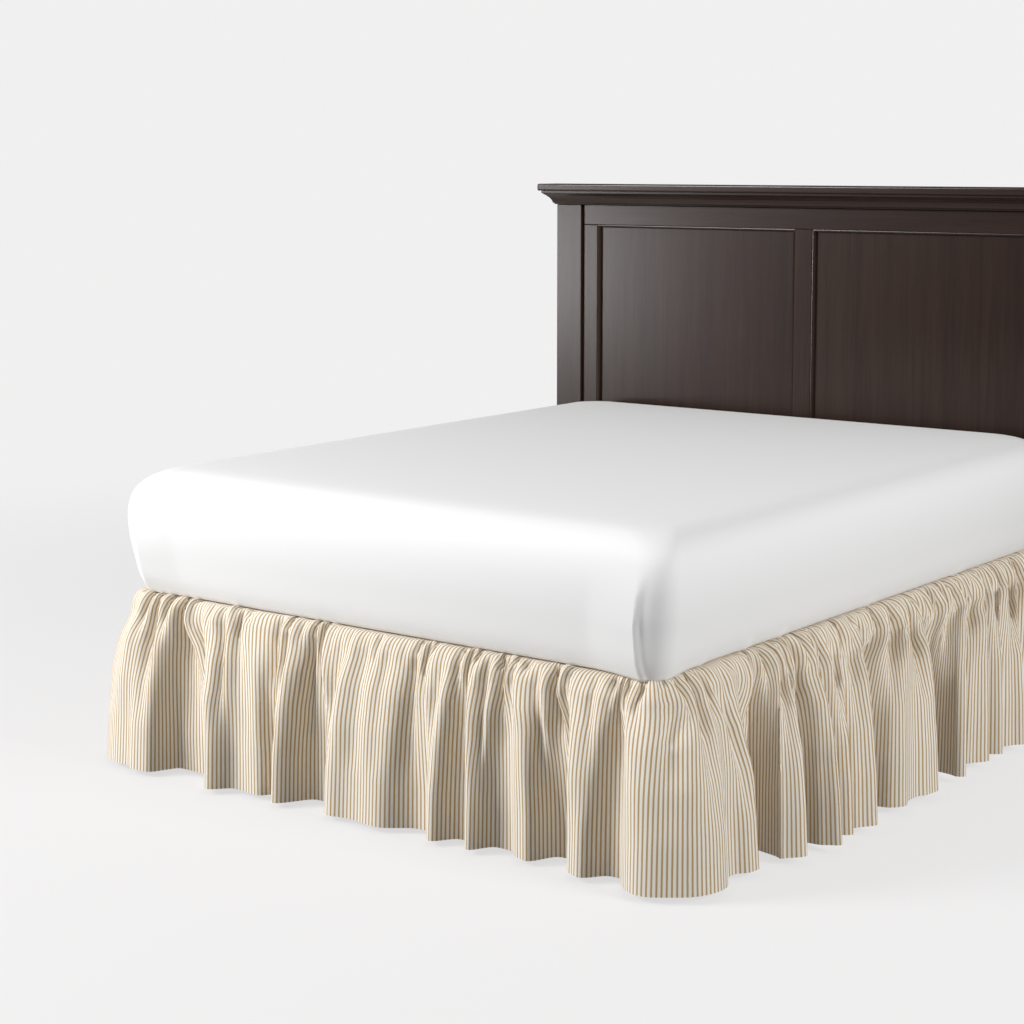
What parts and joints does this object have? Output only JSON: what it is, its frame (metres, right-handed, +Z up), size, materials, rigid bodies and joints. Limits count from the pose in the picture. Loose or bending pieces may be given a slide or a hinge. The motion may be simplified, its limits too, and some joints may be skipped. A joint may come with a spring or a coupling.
{
  "type": "gathered bed skirt on a bed with mattress, box spring, bed frame and headboard",
  "caption": "Gathered ticking-stripe bed skirt falling from under a sheeted mattress to the floor on the two sides and the foot of a bed with a panelled wood headboard.",
  "frame": {"origin": "on the floor, under the middle of the whole object's box", "axes": "+X across the bed to its right-hand side seen from the foot, +Y from the foot to the headboard, +Z up"},
  "size_m": [1.954, 2.093, 1.398],
  "materials": {
    "ticking": "woven cotton ticking, cream with narrow ochre stripes running down the drop",
    "deck_cloth": "plain unbleached muslin",
    "sheet": "smooth white cotton percale",
    "box_spring_cover": "plain woven cover",
    "espresso_wood": "dark espresso stain under satin lacquer",
    "painted_steel": "dark powder coat"
  },
  "bodies": {
    "root": {"skirt_ruffle": "ticking", "skirt_deck": "deck_cloth", "mattress": "sheet", "box_spring": "box_spring_cover", "left_post": "espresso_wood", "right_post": "espresso_wood", "top_rail": "espresso_wood", "bottom_rail": "espresso_wood", "left_stile": "espresso_wood", "right_stile": "espresso_wood", "centre_stile": "espresso_wood", "left_panel": "espresso_wood", "right_panel": "espresso_wood", "crown_moulding": "espresso_wood", "crown_board": "espresso_wood", "left_side_rail": "painted_steel", "right_side_rail": "painted_steel", "left_bracket": "painted_steel", "right_bracket": "painted_steel", "foot_cross_rail": "painted_steel", "middle_cross_rail": "painted_steel", "head_cross_rail": "painted_steel", "foot_leg_left": "painted_steel", "foot_leg_centre": "painted_steel", "foot_leg_right": "painted_steel", "middle_leg_left": "painted_steel", "middle_leg_centre": "painted_steel", "middle_leg_right": "painted_steel", "head_leg_left": "painted_steel", "head_leg_centre": "painted_steel", "head_leg_right": "painted_steel"}
  },
  "joints": []
}
